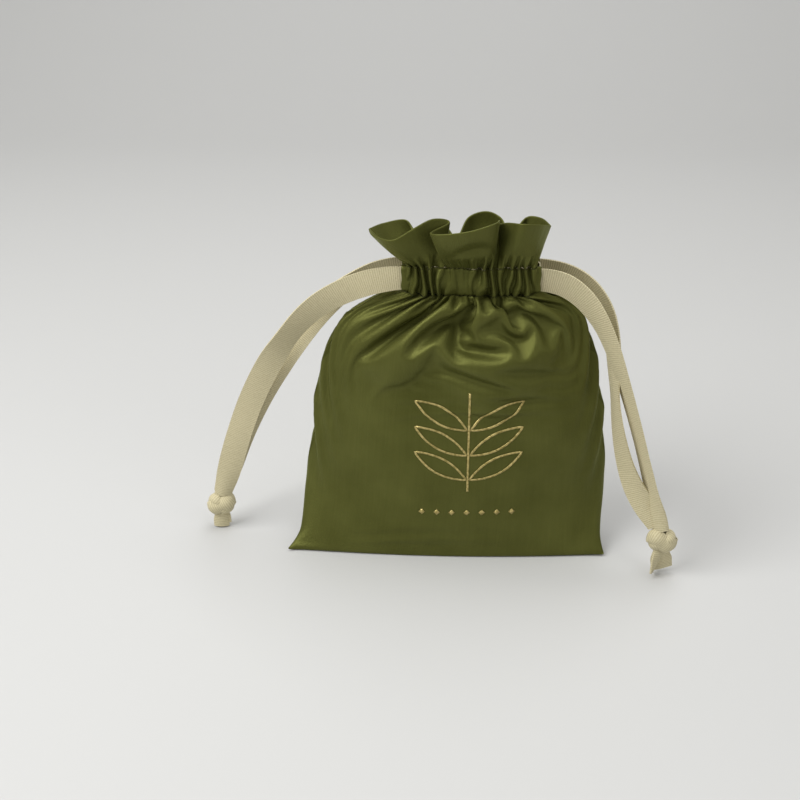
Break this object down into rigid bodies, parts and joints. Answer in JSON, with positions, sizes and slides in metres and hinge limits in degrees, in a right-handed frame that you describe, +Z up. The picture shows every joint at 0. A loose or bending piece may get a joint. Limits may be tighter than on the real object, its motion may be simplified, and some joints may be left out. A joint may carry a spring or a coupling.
{
  "type": "drawstring gift sack",
  "caption": "Plump satin gift sack with a gathered neck, a flared header and knotted ribbon drawstrings that pull out at both sides.",
  "frame": {"origin": "middle of the sack's base, on the surface it stands on", "axes": "+X to the right of the printed front, -Y out of the printed front, +Z up"},
  "size_m": [0.1918, 0.0514, 0.1425],
  "materials": {
    "satin": "satin weave with a soft sheen",
    "seam_tape": "overlocked cut edges",
    "thread": "polyester thread",
    "ribbon": "grosgrain ribbon, ribbed across its width",
    "foil": "hot-stamped foil, slightly rubbed"
  },
  "bodies": {
    "sack": {"front_panel": "satin", "back_panel": "satin", "front_header": "satin", "back_header": "satin", "front_casing": "satin", "back_casing": "satin", "left_side_seam": "seam_tape", "right_side_seam": "seam_tape", "bottom_seam": "seam_tape", "front_lower_stitches": "thread", "front_upper_stitches": "thread", "back_lower_stitches": "thread", "back_upper_stitches": "thread", "left_ribbon_loop": "ribbon", "right_ribbon_loop": "ribbon", "sprig_print": "foil", "diamond_row_print": "foil"},
    "left_ribbon": {"left_ribbon_leads": "ribbon"},
    "right_ribbon": {"right_ribbon_leads": "ribbon"},
    "left_tails": {"left_front_tail": "ribbon", "left_back_tail": "ribbon", "left_knot": "ribbon", "left_knot_ends": "ribbon"},
    "right_tails": {"right_front_tail": "ribbon", "right_back_tail": "ribbon", "right_knot": "ribbon", "right_knot_ends": "ribbon"}
  },
  "joints": [
    {"name": "left_pull", "type": "slide", "parent": "sack", "child": "left_ribbon", "axis": [-1, 0, 0], "range_m": [0, 0.013]},
    {"name": "right_pull", "type": "slide", "parent": "sack", "child": "right_ribbon", "axis": [1, 0, 0], "range_m": [0, 0.013]},
    {"name": "left_swing", "type": "hinge", "parent": "left_ribbon", "child": "left_tails", "pos_m": [-0.0235, 0, 0.117], "axis": [0, 1, 0], "range_deg": [0, 60]},
    {"name": "right_swing", "type": "hinge", "parent": "right_ribbon", "child": "right_tails", "pos_m": [0.0385, 0, 0.117], "axis": [0, -1, 0], "range_deg": [0, 60]}
  ]
}
